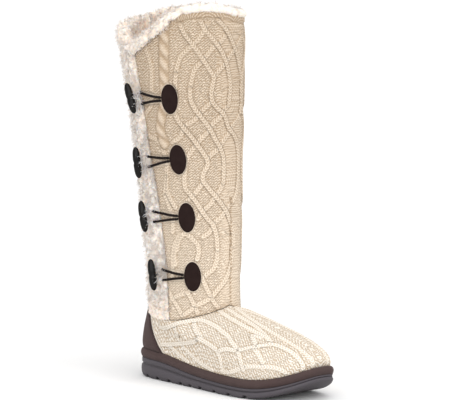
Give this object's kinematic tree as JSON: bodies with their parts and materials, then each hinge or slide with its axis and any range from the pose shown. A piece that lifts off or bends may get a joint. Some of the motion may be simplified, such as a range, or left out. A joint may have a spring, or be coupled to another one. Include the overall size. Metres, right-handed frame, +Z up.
{
  "type": "knee-high knit boot",
  "caption": "Tall knitted boot, right foot: fur-lined collar, fur-filled slit on the outer side held by toggles and loops, suede heel counter and wrap, lugged rubber sole",
  "frame": {"origin": "centre of the boot's box in plan, on the floor under the sole", "axes": "+X towards the toe, +Y towards the inner side of the foot, +Z up"},
  "size_m": [0.2822, 0.1352, 0.4226],
  "materials": {
    "rubber": "satin dark grey rubber",
    "suede": "napped dark brown suede",
    "fleece": "soft fleece",
    "knit": "cream cable knit",
    "fur": "off-white curly pile",
    "cord": "matt black cord",
    "horn": "polished dark horn look"
  },
  "bodies": {
    "root": {"outsole": "rubber", "midsole": "suede", "insole": "fleece", "upper": "knit", "heel_counter": "suede", "shaft": "knit", "fur_placket": "fur", "fur_collar": "fur", "patch_1": "suede", "loop_1": "cord", "toggle_1": "horn", "toggle_cord_1": "cord", "patch_2": "suede", "loop_2": "cord", "toggle_2": "horn", "toggle_cord_2": "cord", "patch_3": "suede", "loop_3": "cord", "toggle_3": "horn", "toggle_cord_3": "cord", "patch_4": "suede", "loop_4": "cord", "toggle_4": "horn", "toggle_cord_4": "cord"}
  },
  "joints": []
}
